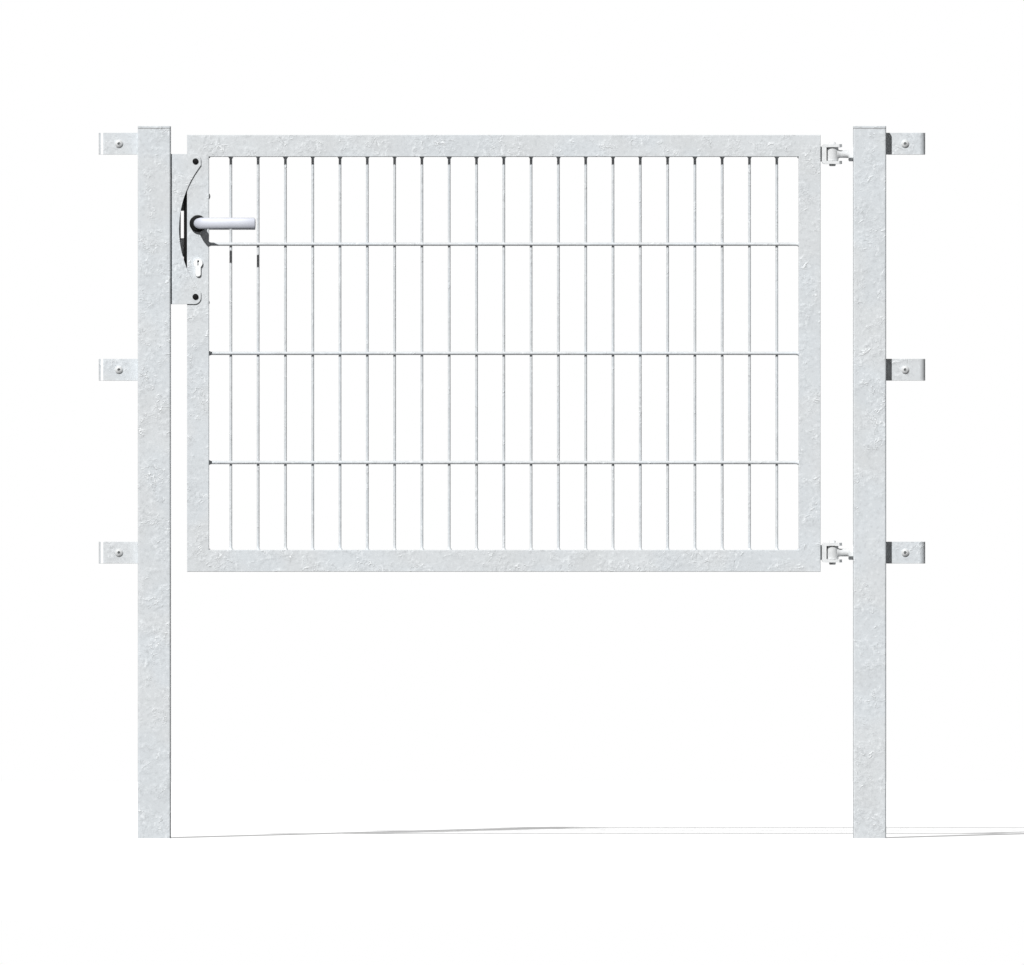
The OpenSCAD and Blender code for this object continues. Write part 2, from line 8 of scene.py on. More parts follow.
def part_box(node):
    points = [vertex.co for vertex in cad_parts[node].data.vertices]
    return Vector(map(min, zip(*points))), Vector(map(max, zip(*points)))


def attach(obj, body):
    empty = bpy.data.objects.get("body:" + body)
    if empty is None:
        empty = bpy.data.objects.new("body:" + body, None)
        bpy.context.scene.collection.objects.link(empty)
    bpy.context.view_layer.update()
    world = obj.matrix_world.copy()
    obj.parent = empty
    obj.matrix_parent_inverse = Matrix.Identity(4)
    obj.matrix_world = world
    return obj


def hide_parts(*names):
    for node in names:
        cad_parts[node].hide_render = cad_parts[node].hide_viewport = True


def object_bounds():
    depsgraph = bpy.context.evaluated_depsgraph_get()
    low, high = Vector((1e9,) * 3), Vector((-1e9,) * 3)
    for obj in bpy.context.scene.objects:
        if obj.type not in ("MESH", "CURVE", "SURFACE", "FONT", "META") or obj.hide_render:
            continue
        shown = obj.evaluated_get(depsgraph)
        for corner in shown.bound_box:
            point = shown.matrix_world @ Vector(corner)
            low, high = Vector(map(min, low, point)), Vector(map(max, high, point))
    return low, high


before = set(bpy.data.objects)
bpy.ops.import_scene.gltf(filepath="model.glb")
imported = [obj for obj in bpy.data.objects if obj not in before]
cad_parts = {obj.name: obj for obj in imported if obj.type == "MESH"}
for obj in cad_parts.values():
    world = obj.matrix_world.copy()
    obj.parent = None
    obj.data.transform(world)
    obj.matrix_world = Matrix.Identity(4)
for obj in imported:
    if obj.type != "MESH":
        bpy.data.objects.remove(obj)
cad_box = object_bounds()


# Posts: two square tubes, hot-dip galvanised after their caps are welded on.
# The zinc dries in soft grey clouds and small crystals, a little blue or warm,
# with short strokes where it ran off. The same zinc is on every welded piece.
class Wire:
    """One socket of a node tree. Arithmetic on it adds Math nodes."""

    def __init__(self, tree, socket):
        self.tree, self.socket = tree, socket

    def math(self, operation, *values):
        return self.tree.node("ShaderNodeMath", {"operation": operation}, dict(enumerate(values)))

    def __add__(self, other):
        return self.math("ADD", self, other)

    def __sub__(self, other):
        return self.math("SUBTRACT", self, other)

    def __rsub__(self, other):
        return self.math("SUBTRACT", other, self)

    def __mul__(self, other):
        return self.math("MULTIPLY", self, other)

    __radd__ = __add__
    __rmul__ = __mul__


class Tree:
    """A node tree that is filled one node at a time."""

    def __init__(self, made):
        self.made = made

    def node(self, kind, settings=None, inputs=None, output=0):
        node = self.made.nodes.new(kind)
        for key, value in (settings or {}).items():
            setattr(node, key, value)
        for key, value in (inputs or {}).items():
            if isinstance(value, Wire):
                self.made.links.new(value.socket, node.inputs[key])
            else:
                node.inputs[key].default_value = value
        return Wire(self, node.outputs[output]) if node.outputs else None


class Finish(Tree):
    """A material with one glossy shader on its surface."""

    def __init__(self, name):
        self.material = bpy.data.materials.new(name)
        self.material.use_nodes = True
        super().__init__(self.material.node_tree)
        self.made.nodes.clear()
        self.place = self.node("ShaderNodeTexCoord", output="Object")

    def noise(self, size, detail=2.0, roughness=0.5, stretch=(1, 1, 1), turn=(0, 0, 0), swirl=0.0):
        """Noise from 0 to 1 whose features are about size metres wide."""
        place = self.node("ShaderNodeMapping", {}, {
            "Vector": self.place, "Scale": stretch, "Rotation": turn})
        return self.node("ShaderNodeTexNoise", {}, {
            "Vector": place, "Scale": 1 / size, "Detail": detail, "Roughness": roughness,
            "Distortion": swirl})

    def blend(self, factor, first, second, how="MIX"):
        """Mixes two colours by a factor."""
        return self.node("ShaderNodeMix", {"data_type": "RGBA", "blend_type": how}, {
            0: factor, 6: first, 7: second}, output=2)

    def mask(self, value, low, high):
        """0 under low, 1 over high, smooth between."""
        return self.node("ShaderNodeMapRange", {"interpolation_type": "SMOOTHSTEP"}, {
            "Value": value, "From Min": low, "From Max": high})

    def surface(self, colour, roughness, metallic, bump=None, depth=0.0002, strength=0.3, shine=0.3):
        inputs = {"Base Color": colour, "Roughness": roughness, "Metallic": metallic,
                  "Specular IOR Level": shine}
        if bump is not None:
            inputs["Normal"] = self.node("ShaderNodeBump", {}, {
                "Height": bump, "Strength": strength, "Distance": depth})
        shader = self.node("ShaderNodeBsdfPrincipled", {}, inputs)
        self.node("ShaderNodeOutputMaterial", {}, {"Surface": shader})
        return self.material


def tinted(level, red=0.97):
    """A linear grey of a level, with its red turned down and its blue up."""
    return (level * red, level, level * (1.018 - (red - 0.97)), 1.0)


def galvanised_zinc(name, level=0.660, painted_light=None, painted_light_level=0.93):
    zinc = Finish(name)
    clouds = zinc.mask(zinc.noise(0.06, 3, 0.55), 0.35, 0.65)
    tint = zinc.mask(zinc.noise(0.10, 1, 0.4, turn=(0.7, 0.2, 0.4)), 0.40, 0.60)
    patches = zinc.mask(zinc.noise(0.035, 2, 0.5, turn=(0.4, 0.2, 0.9)), 0.44, 0.62)
    breaks = zinc.mask(zinc.noise(0.013, 1, 0.5, turn=(0.9, 0.6, 0.1)), 0.46, 0.60)
    curls = zinc.noise(0.020, 2, 0.5, turn=(0.1, 0.8, 0.3), swirl=0.9)
    lines = zinc.mask(curls.math("ABSOLUTE", curls - 0.5), 0.030, 0.0) * breaks * patches
    grain = zinc.noise(0.0065, 2, 0.55)
    specks = zinc.noise(0.0080, 1, 0.5, stretch=(1.5, 1.5, 0.7), turn=(0.2, 0.8, 0.1))
    warm = zinc.blend(clouds, tinted(level - 0.012, 0.970), tinted(level + 0.012, 0.966))
    cool = zinc.blend(clouds, tinted(level - 0.012, 0.956), tinted(level + 0.012, 0.952))
    skin = zinc.blend(tint, warm, cool)
    skin = zinc.blend(zinc.mask(grain, 0.46, 0.30) * 0.30, skin, tinted(level - 0.20, 0.96))
    skin = zinc.blend(zinc.mask(grain, 0.56, 0.70) * 0.30, skin, tinted(level + 0.20, 0.97))
    skin = zinc.blend(zinc.mask(specks, 0.62, 0.72) * patches * 0.55, skin, tinted(level + 0.22, 0.97))
    skin = zinc.blend(zinc.mask(specks, 0.38, 0.28) * patches * 0.35, skin, tinted(level - 0.24, 0.96))
    skin = zinc.blend(lines * 0.6, skin, tinted(level + 0.22, 0.98))
    # Optional painted light: a mask and a level for painted shade or a painted highlight on the zinc.
    if painted_light is not None:
        skin = zinc.blend(painted_light(zinc), skin, tinted(painted_light_level, 0.985))
    return zinc.surface(skin, 0.50 + 0.12 * clouds, 0.03,
                        bump=lines + grain * (0.25 + patches), depth=0.0013, strength=0.6)


def dressed(node, material):
    """Gives a CAD node that stays a better material."""
    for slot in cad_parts[node].material_slots:
        slot.material = material


post_low, post_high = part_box("lock_post")
# The band of painted shade just under the caps, and how soft its edges are.
shade_line_low, shade_line_high, shade_line_blur = post_high[2] - 0.0009, post_high[2] + 0.0003, 0.0002


def cap_edge_shade(zinc):
    """Painted shade: a fine dark line on the post just under its cap, standing in for the shade under the
    cap's broken lower edge at the ground weld.
    """
    z = zinc.node("ShaderNodeSeparateXYZ", {}, {"Vector": zinc.place}, output="Z")
    return zinc.mask(z, shade_line_low - shade_line_blur, shade_line_low) * zinc.mask(z, shade_line_high + shade_line_blur, shade_line_high)


zinc_skin = galvanised_zinc("galvanised_zinc")
# The posts' zinc carries the painted shade line under the caps.
post_zinc = galvanised_zinc("galvanised_post_zinc", painted_light=cap_edge_shade, painted_light_level=0.34)
for name in ("lock_post", "hinge_post"):
    dressed(name, post_zinc)


# Post caps: flat plates of 4 mm steel, welded round and ground, so that only their slightly broken edges
# show. The fine dark line under them is painted shade on the post's zinc.
sharp_angle, bevel_angle, flat_angle = math.radians(35), math.radians(40), math.radians(0.5)


def smooth_shaded(mesh):
    mesh.polygons.foreach_set("use_smooth", [True] * len(mesh.polygons))
    mesh.set_sharp_from_angle(angle=sharp_angle)


def finished(obj, material, body, slot, *stands_for):
    """Gives a new piece its material and its body, with soft shading over smooth edges. The slot argument is
    not used.
    """
    obj.data.materials.clear()
    obj.data.materials.append(material)
    for face in obj.data.polygons:
        face.material_index = 0
    if not obj.data.has_custom_normals:
        smooth_shaded(obj.data)
    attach(obj, body)
    if stands_for:
        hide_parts(*stands_for)
    return obj


def mesh_object(name, mesh):
    obj = bpy.data.objects.new(name, mesh)
    bpy.context.scene.collection.objects.link(obj)
    return obj


def applied(obj):
    """The object with its modifiers turned into plain mesh."""
    graph = bpy.context.evaluated_depsgraph_get()
    graph.update()
    mesh = bpy.data.meshes.new_from_object(obj.evaluated_get(graph), depsgraph=graph)
    obj.modifiers.clear()
    obj.data = mesh
    return obj


def softened(node, name, width, segments=2):
    """A copy of a solid piece whose sharp edges are broken by a small round."""
    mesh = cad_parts[node].data.copy()
    solid = bmesh.new()
    solid.from_mesh(mesh)
    bmesh.ops.remove_doubles(solid, verts=solid.verts, dist=1e-6)
    bmesh.ops.dissolve_limit(solid, angle_limit=flat_angle, verts=solid.verts,
                             edges=solid.edges, delimit=set())
    solid.to_mesh(mesh)
    solid.free()
    smooth_shaded(mesh)
    obj = mesh_object(name, mesh)
    bevel = obj.modifiers.new("edges", "BEVEL")
    bevel.harden_normals = True
    bevel.width = width
    bevel.segments = segments
    bevel.limit_method = "ANGLE"
    bevel.angle_limit = bevel_angle
    return applied(obj)


cap_edge = 0.0006
for side in ("lock_post", "hinge_post"):
    cap = softened(f"{side}_cap", f"{side}_cap_plate", cap_edge)
    finished(cap, post_zinc, "posts", "galvanised_steel", f"{side}_cap")


# Stop plate: a 2 mm sheet, laser cut with a round hollow and bent along the
# post. Two button head screws fix its leg, and its lip catches the bolts.
stop_low, stop_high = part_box("stop_plate")
plate_edge = 0.0005
stop_plate = softened("stop_plate", "stop_plate_sheet", plate_edge)
finished(stop_plate, zinc_skin, "posts", "galvanised_steel", "stop_plate")


def closed_mesh(name, points, faces, merge=0.0):
    """A piece from points and faces, with its normals turned out."""
    mesh = bpy.data.meshes.new(name)
    mesh.from_pydata(points, [], faces)
    solid = bmesh.new()
    solid.from_mesh(mesh)
    if merge > 0:
        bmesh.ops.remove_doubles(solid, verts=solid.verts, dist=merge)
    bmesh.ops.recalc_face_normals(solid, faces=solid.faces)
    solid.to_mesh(mesh)
    solid.free()
    return mesh_object(name, mesh)


def turned(name, outline, axis_at, along, steps=48):
    """A turned solid: outline is (distance along the axis, radius) pairs, from end to end."""
    along = Vector(along).normalized()
    side = along.orthogonal().normalized()
    third = along.cross(side)
    points, faces = [], []
    for reach, radius in outline:
        for i in range(steps):
            turn = 2 * math.pi * i / steps
            points.append(Vector(axis_at) + along * reach
                          + (side * math.cos(turn) + third * math.sin(turn)) * max(radius, 1e-6))
    rings = len(outline)
    for ring in range(rings - 1):
        for i in range(steps):
            j = (i + 1) % steps
            a, b = ring * steps, (ring + 1) * steps
            faces.append((a + i, a + j, b + j, b + i))
    faces.append(tuple(reversed(range(steps))))
    faces.append(tuple(range((rings - 1) * steps, rings * steps)))
    return closed_mesh(name, points, faces, merge=2e-6)


def box_mesh(name, corners):
    """A box from its eight corners, the third direction counted first."""
    return closed_mesh(name, corners, [(0, 1, 3, 2), (4, 6, 7, 5), (0, 4, 5, 1), (2, 3, 7, 6),
                                       (0, 2, 6, 4), (1, 5, 7, 3)])


def cut_out(obj, cutter):
    """Takes the cutter's shape out of an object."""
    cut = obj.modifiers.new("cut", "BOOLEAN")
    cut.operation = "DIFFERENCE"
    cut.solver = "EXACT"
    cut.object = cutter
    applied(obj)
    bpy.data.objects.remove(cutter)
    return obj


def domed(radius, height, edge=0.0006, steps=6):
    """The outline of a screw's low dome, from its rim at 0 to its crown."""
    ball = (radius ** 2 + height ** 2) / (2 * height)
    outline = [(0.0, radius - edge), (edge, radius)]
    for i in range(1, steps + 1):
        reach = height * i / steps
        radius_there = math.sqrt(max(ball ** 2 - (ball - height + reach) ** 2, 0))
        outline.append((max(reach, edge * 1.2), radius_there))
    return outline


def bright_zinc(name, level=0.78, metallic=0.10, shine=0.3):
    """Thin electroplated zinc: brighter and smoother than the dipped coat, with faint handling marks."""
    plate = Finish(name)
    marks = plate.mask(plate.noise(0.012, 3, 0.6), 0.35, 0.65)
    fine = plate.noise(0.0012, 2, 0.6)
    skin = plate.blend(marks, tinted(level - 0.04, 0.985), tinted(min(level + 0.02, 0.98), 0.985))
    return plate.surface(skin, 0.46 + 0.08 * marks, metallic, bump=fine, strength=0.10, shine=shine)


bright_skin = bright_zinc("bright_zinc_plate")
round_skin = bright_zinc("bright_zinc_round", 0.68, 0.02, 0.05)
socket_depth, socket_tip = 0.0022, 0.0004


def button_screw(name, seat, out, radius, height, socket_width, body):
    """A button head screw with a six-sided socket. Seat is the middle of its bearing face."""
    head = turned(name, [(0.0, 0.0)] + domed(radius, height), seat, out)
    corner_r = socket_width / math.sqrt(3)
    floor_at = height - socket_depth
    hole = turned(name + "_socket", [(floor_at - socket_tip, 0.0), (floor_at, corner_r),
                                     (height + 0.002, corner_r)], seat, out, steps=6)
    cut_out(head, hole)
    return finished(head, bright_skin, body, "bright_zinc")


sheet_t = 0.0020
leg_face_x, leg_screw_y, leg_screw_step = stop_low[0] + sheet_t, -0.006, 0.118
leg_head_r, leg_head_h, leg_socket = 0.0052, 0.0030, 0.004
stop_middle_z = (stop_low[2] + stop_high[2]) / 2
for word, sign in (("upper", 1), ("lower", -1)):
    seat = (leg_face_x, leg_screw_y, stop_middle_z + sign * leg_screw_step)
    button_screw(f"stop_plate_{word}_screw", seat, (1, 0, 0), leg_head_r, leg_head_h, leg_socket, "posts")


# Buffers: black rubber plugs, moulded in one piece and pressed through the
# stop plate, with a round button in front and a soft pad behind for the leaf.
def black_stuff(name, level, roughness, grain, strength=0.3):
    stuff = Finish(name)
    patches = stuff.mask(stuff.noise(0.02, 3, 0.6), 0.3, 0.7)
    skin = stuff.blend(patches, tinted(level, 0.98), tinted(level * 1.5 + 0.001, 0.98))
    return stuff.surface(skin, roughness + 0.12 * patches, 0.0,
                         bump=stuff.noise(grain, 2, 0.6), strength=strength, shine=0.12)


rubber = black_stuff("black_rubber", 0.005, 0.55, 0.0008, 0.4)
button_t, button_r, waist_r, pad_r, lip = 0.0025, 0.0055, 0.0034, 0.0079, 0.0003
for name in ("upper_buffer", "lower_buffer"):
    low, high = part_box(name)
    middle = ((low[0] + high[0]) / 2, low[1], (low[2] + high[2]) / 2)
    sheet_back, whole = button_t + sheet_t, high[1] - low[1]
    plug = turned(name + "_plug", [(0.0, 0.0), (0.0, button_r - 0.0015), (lip, button_r - 0.0008),
                                   (0.0011, button_r - 0.0001), (button_t - lip, button_r),
                                   (button_t, button_r - 0.0002), (button_t, waist_r),
                                   (sheet_back, waist_r), (sheet_back, pad_r), (whole, pad_r - lip),
                                   (whole, 0.0)], middle, (0, 1, 0))
    finished(plug, rubber, "posts", "black_rubber", name)


# Fence clamps: a bent bracket welded to the post, a flat clamp plate behind
# it, and an M8 button head screw whose nut pulls the plate onto the rods.
# Where the painted highlight sits across the bend, measured from the strap's end.
highlight_start, highlight_end = 0.0035, 0.0088
strap_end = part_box("lock_post_upper_bracket")[0][0]


def bend_highlight(zinc):
    """Painted highlight: a brighter band over the bend of the lock post's straps, where the curve catches
    the light.
    """
    x = zinc.node("ShaderNodeSeparateXYZ", {}, {"Vector": zinc.place}, output="X")
    reach = x.math("ABSOLUTE", x - strap_end)
    return zinc.mask(reach, highlight_start, highlight_start + 0.0012) * zinc.mask(reach, highlight_end, highlight_end - 0.0016)


# The lock post's straps carry a painted highlight over their bends.
highlight_strap_zinc = galvanised_zinc("lock_post_strap_zinc", painted_light=bend_highlight)
clamp_socket_r, clamp_socket_depth, overshoot = 0.0029, 0.0058, 0.001
for side, strap_zinc in (("lock_post", highlight_strap_zinc), ("hinge_post", zinc_skin)):
    for level in ("upper", "middle", "lower"):
        stem = f"{side}_{level}"
        bracket = softened(f"{stem}_bracket", f"{stem}_bracket_strap", 0.0005)
        finished(bracket, strap_zinc, "posts", "galvanised_steel", f"{stem}_bracket")
        plate = softened(f"{stem}_clamp_plate", f"{stem}_clamp_plate_flat", 0.0005)
        finished(plate, zinc_skin, "posts", "galvanised_steel", f"{stem}_clamp_plate")
        screw = softened(f"{stem}_clamp_screw", f"{stem}_clamp_screw_set", 0.0003)
        low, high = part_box(f"{stem}_clamp_screw")
        crown = ((low[0] + high[0]) / 2, low[1], (low[2] + high[2]) / 2)
        cut_out(screw, turned(f"{stem}_deep_socket", [
            (-overshoot, 0.0), (-overshoot, clamp_socket_r), (clamp_socket_depth, clamp_socket_r),
            (clamp_socket_depth, 0.0)], crown, (0, 1, 0), steps=6))
        finished(screw, round_skin, "posts", "bright_zinc", f"{stem}_clamp_screw")


# Welds: short runs of bead along the joints that show. Each run is a row of
# overlapping drops, as a welding torch leaves them, galvanised with the rest.
class Shape(Tree):
    """A tree of mesh nodes with named inputs."""

    def __init__(self, name, inputs):
        super().__init__(bpy.data.node_groups.new(name, "GeometryNodeTree"))
        kinds = {float: "NodeSocketFloat", int: "NodeSocketInt", Vector: "NodeSocketVector"}
        face = self.made.interface
        face.new_socket("Geometry", in_out="OUTPUT", socket_type="NodeSocketGeometry")
        self.values = inputs
        self.sockets = {key: face.new_socket(key, in_out="INPUT", socket_type=kinds[type(value)])
                        for key, value in inputs.items()}
        source = self.made.nodes.new("NodeGroupInput")
        self.input = {key: Wire(self, source.outputs[key]) for key in inputs}

    def build(self, name, geometry, material):
        """Ends the tree, runs it once and returns the result as a plain mesh object."""
        real = self.node("GeometryNodeRealizeInstances", {}, {"Geometry": geometry})
        done = self.node("GeometryNodeSetMaterial", {}, {"Geometry": real, "Material": material})
        self.node("NodeGroupOutput", {}, {0: done})
        obj = mesh_object(name, bpy.data.meshes.new(name))
        modifier = obj.modifiers.new("make", "NODES")
        modifier.node_group = self.made
        for key, value in self.values.items():
            modifier[self.sockets[key].identifier] = value
        return applied(obj)


def weld_run(name, start, end, width, body, seed):
    """A straight bead from start to end."""
    start, end = Vector(start), Vector(end)
    tree = Shape(name + "_tree", {"Start": start, "End": end, "Width": float(width),
                                  "Drops": max(3, int((end - start).length / (width * 0.28))), "Seed": seed})
    line = tree.node("GeometryNodeMeshLine", {"mode": "END_POINTS"}, {
        "Count": tree.input["Drops"], "Start Location": tree.input["Start"],
        "Offset": tree.input["End"]})
    drop = tree.node("GeometryNodeMeshUVSphere", {}, {"Segments": 10, "Rings": 6, "Radius": 0.5})
    size = tree.node("FunctionNodeRandomValue", {"data_type": "FLOAT"}, {
        2: 0.82, 3: 1.08, "Seed": tree.input["Seed"]}, output=1)
    shift = tree.node("FunctionNodeRandomValue", {"data_type": "FLOAT_VECTOR"}, {
        0: (-0.00025,) * 3, 1: (0.00025,) * 3, "Seed": tree.input["Seed"]})
    line = tree.node("GeometryNodeSetPosition", {}, {"Geometry": line, "Offset": shift})
    drops = tree.node("GeometryNodeInstanceOnPoints", {}, {
        "Points": line, "Instance": drop, "Scale": size * tree.input["Width"]})
    bead = tree.build(name, drops, zinc_skin)
    return finished(bead, zinc_skin, body, "galvanised_steel")


weld_seed = 0
strap_weld_lift, strap_weld_back, strap_weld_short, strap_weld_w = 0.0006, 0.0036, 0.003, 0.0040
for side, out in (("lock_post", -1), ("hinge_post", 1)):
    for level in ("upper", "middle", "lower"):
        low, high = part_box(f"{side}_{level}_bracket")
        at_x = (high[0] if out < 0 else low[0]) + out * strap_weld_lift
        at_y = low[1] + strap_weld_back
        weld_seed += 1
        weld_run(f"{side}_{level}_bracket_weld", (at_x, at_y, low[2] + strap_weld_short),
                 (at_x, at_y, high[2] - strap_weld_short), strap_weld_w, "posts", weld_seed)
leg_weld_x, leg_weld_y, leg_weld_half, leg_weld_w = stop_low[0] + 0.0008, 0.0113, 0.014, 0.0042
for step in (-0.100, -0.045, 0.045, 0.100):
    weld_seed += 1
    middle_z = stop_middle_z + step
    weld_run(f"stop_plate_weld_{weld_seed}", (leg_weld_x, leg_weld_y, middle_z - leg_weld_half),
             (leg_weld_x, leg_weld_y, middle_z + leg_weld_half), leg_weld_w, "posts", weld_seed)


# Eye bolts: forged eyes on 14 mm rods that screw into the hinge post, each
# locked by a thin nut. Turning the rod sets how far the leaf hangs out.
pin_low, pin_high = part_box("upper_hinge_pin")
pin_x, eye_flank = (pin_low[0] + pin_high[0]) / 2, 0.0088
for word in ("upper", "lower"):
    eye = softened(f"{word}_eye_bolt", f"{word}_eye_bolt_forging", 0.0006)
    finished(eye, round_skin, "posts", "bright_zinc", f"{word}_eye_bolt")
    nut = softened(f"{word}_lock_nut", f"{word}_lock_nut_thin", 0.0004)
    finished(nut, bright_skin, "posts", "bright_zinc", f"{word}_lock_nut")
    low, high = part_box(f"{word}_eye_bolt")
    middle_z = (low[2] + high[2]) / 2
    collar = turned(f"{word}_eye_bolt_fillet", [
        (0.0, 0.0), (0.0, 0.0090), (0.0012, 0.0088), (0.0028, 0.0079), (0.0045, 0.0073), (0.0060, 0.00705),
        (0.0060, 0.0)], (pin_x + eye_flank, 0, middle_z), (1, 0, 0))
    finished(collar, round_skin, "posts", "bright_zinc")


# Clevises: 5.5 mm steel straps bent to a U, with round ends, welded on the
# hinge stile. A 12 mm pin through both ears carries the eye.
for word in ("upper", "lower"):
    clevis = softened(f"{word}_clevis", f"{word}_clevis_strap", 0.0006)
    finished(clevis, bright_skin, "leaf", "bright_zinc", f"{word}_clevis")
    pin = softened(f"{word}_hinge_pin", f"{word}_hinge_pin_bar", 0.0003)
    finished(pin, bright_skin, "leaf", "bright_zinc", f"{word}_hinge_pin")


# Leaf frame: 40 mm square tube, mitred, welded and ground flush, so that no
# seam shows on its faces. Small fillet welds stay in the inner corners.
for name in ("lock_stile", "hinge_stile", "top_rail", "bottom_rail"):
    dressed(name, zinc_skin)
mat_low, mat_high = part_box("rod_mat")
corner_lift, corner_half, corner_weld_w = 0.0004, 0.0165, 0.0036
for x, sign_x in ((mat_low[0], 1), (mat_high[0], -1)):
    for z, sign_z in ((mat_low[2], 1), (mat_high[2], -1)):
        weld_seed += 1
        at_x, at_z = x + sign_x * corner_lift, z + sign_z * corner_lift
        weld_run(f"frame_corner_weld_{weld_seed}", (at_x, -corner_half, at_z),
                 (at_x, corner_half, at_z), corner_weld_w, "leaf", weld_seed)


# Rod mat: 5 mm upright rods spot welded between pairs of 6 mm cross rods, and
# welded all round to the frame. Each crossing has a little squeezed-out steel.
uprights_count, upright_pitch, upright_r = 21, 0.050, 0.0025
cross_count, cross_pitch, cross_r, frame_tube = 3, 0.2, 0.003, 0.040
bite, weld_r, weld_depth = 0.0006, 0.0047, 0.0036
cross_y = upright_r + cross_r - bite
first_x = (mat_low[0] + mat_high[0]) / 2 - (uprights_count - 1) / 2 * upright_pitch
lowest_cross_z = mat_high[2] + frame_tube - cross_pitch * cross_count

mat = Shape("rod_mat_tree", {
    "First rod": Vector((first_x, 0, mat_low[2])), "Pitch": Vector((upright_pitch, 0, 0)),
    "Rods": uprights_count, "Height": mat_high[2] - mat_low[2], "Width": mat_high[0] - mat_low[0],
    "Upright radius": upright_r, "Cross radius": cross_r, "Cross gap": cross_y,
    "Lowest cross rod": Vector((mat_low[0], 0, lowest_cross_z)), "Cross rods": cross_count,
    "Cross pitch": Vector((0, 0, cross_pitch)), "Weld radius": weld_r, "Weld depth": weld_depth, "Seed": 4})
feet = mat.node("GeometryNodeMeshLine", {"mode": "OFFSET"}, {
    "Count": mat.input["Rods"], "Start Location": mat.input["First rod"], "Offset": mat.input["Pitch"]})


def rod(radius, length, sides=20):
    """A rod that starts at the origin and runs along Z."""
    made = mat.node("GeometryNodeMeshCylinder", {}, {
        "Vertices": sides, "Side Segments": 1, "Radius": radius, "Depth": length})
    up = mat.node("ShaderNodeCombineXYZ", {}, {"Z": length * 0.5})
    return mat.node("GeometryNodeTransform", {}, {"Geometry": made, "Translation": up})


def placed(shape, x=0.0, y=0.0, z=0.0, turn=(0, 0, 0)):
    at = mat.node("ShaderNodeCombineXYZ", {}, {"X": x, "Y": y, "Z": z})
    return mat.node("GeometryNodeTransform", {}, {"Geometry": shape, "Translation": at, "Rotation": turn})


def rod_weld(flip):
    """The fillet round the end of a rod, a low cone."""
    side = mat.node("GeometryNodeMeshCone", {}, {
        "Vertices": 20, "Radius Bottom": mat.input["Weld radius"], "Radius Top": upright_r * 1.04,
        "Depth": mat.input["Weld depth"]})
    return placed(side, turn=(math.pi if flip else 0, 0, 0))


def joined(*shapes):
    join = mat.made.nodes.new("GeometryNodeJoinGeometry")
    for shape in shapes:
        mat.made.links.new(shape.socket, join.inputs[0])
    return Wire(mat, join.outputs[0])


def on_points(points, shape, **more):
    return mat.node("GeometryNodeInstanceOnPoints", {}, {"Points": points, "Instance": shape, **more})


jitter = mat.node("FunctionNodeRandomValue", {"data_type": "FLOAT"}, {
    2: 0.88, 3: 1.12, "Seed": mat.input["Seed"]}, output=1)
uprights = on_points(feet, rod(mat.input["Upright radius"], mat.input["Height"]))
low_welds = on_points(feet, rod_weld(False), Scale=jitter)
heads = placed(feet, z=mat.input["Height"])
high_welds = on_points(heads, rod_weld(True), Scale=jitter)
cross_points = mat.node("GeometryNodeMeshLine", {"mode": "OFFSET"}, {
    "Count": mat.input["Cross rods"], "Start Location": mat.input["Lowest cross rod"],
    "Offset": mat.input["Cross pitch"]})
along_x, back_along_x = (0, math.pi / 2, 0), (0, -math.pi / 2, 0)
end_weld = mat.node("GeometryNodeMeshCone", {}, {
    "Vertices": 20, "Radius Bottom": mat.input["Weld radius"], "Radius Top": cross_r * 1.03,
    "Depth": mat.input["Weld depth"]})
gap_y = (-1 * mat.input["Cross gap"], 1 * mat.input["Cross gap"])
pair = [placed(rod(mat.input["Cross radius"], mat.input["Width"]), y=y, turn=along_x) for y in gap_y]
for y in gap_y:
    pair.append(placed(end_weld, y=y, turn=along_x))
    pair.append(placed(end_weld, x=mat.input["Width"], y=y, turn=back_along_x))
cross_rods = on_points(cross_points, joined(*pair))
spot_r, spot_shape, spot_y = 0.0036, (1.0, 0.62, 0.86), 0.0026
drop = mat.node("GeometryNodeMeshUVSphere", {}, {"Segments": 12, "Rings": 8, "Radius": spot_r})
squeeze = mat.node("GeometryNodeTransform", {}, {"Geometry": drop, "Scale": spot_shape})
spots = []
for y in (-spot_y, spot_y):
    row = mat.node("GeometryNodeRealizeInstances", {}, {"Geometry": on_points(
        cross_points, placed(feet, x=-mat_low[0], y=y, z=-mat_low[2]))})
    spots.append(on_points(row, squeeze, Scale=jitter))
welded = joined(uprights, low_welds, high_welds, cross_rods, *spots)
finished(mat.build("rod_mat_rods", welded, zinc_skin), zinc_skin, "leaf", "galvanised_steel", "rod_mat")


# Lock: a case inside the stile behind a thick black face plate. The bevelled
# latch and the dead bolt come out of it, and the key turns a nickel cylinder.
face_black = black_stuff("black_powder_coat", 0.005, 0.42, 0.0015, 0.25)
face_plate = softened("lock_face_plate", "lock_face_plate_bar", 0.0008, 3)
finished(face_plate, face_black, "leaf", "black_coated_steel", "lock_face_plate")
latch = softened("latch", "latch_tongue", 0.0006)
finished(latch, bright_zinc("dull_die_cast", 0.36, 0.05), "latch", "dark_latch", "latch")
plain_steel = bright_zinc("plain_steel", 0.72, 0.10)
bolt = softened("dead_bolt", "dead_bolt_bar", 0.0008)
finished(bolt, plain_steel, "dead_bolt", "plain_steel", "dead_bolt")
nickel = bright_zinc("nickel_plate", 0.95, 0.08)
cylinder = softened("lock_cylinder", "lock_cylinder_body", 0.0004)
cylinder_low, cylinder_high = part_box("lock_cylinder")
plug_r, keyway_depth = 0.0085, 0.018
keyway_slots = (((-0.0007, 0.0009), (-0.0042, 0.0052)), ((-0.0012, 0.0019), (0.0016, 0.0052)))
key_x = (cylinder_low[0] + cylinder_high[0]) / 2
key_z = cylinder_high[2] - plug_r
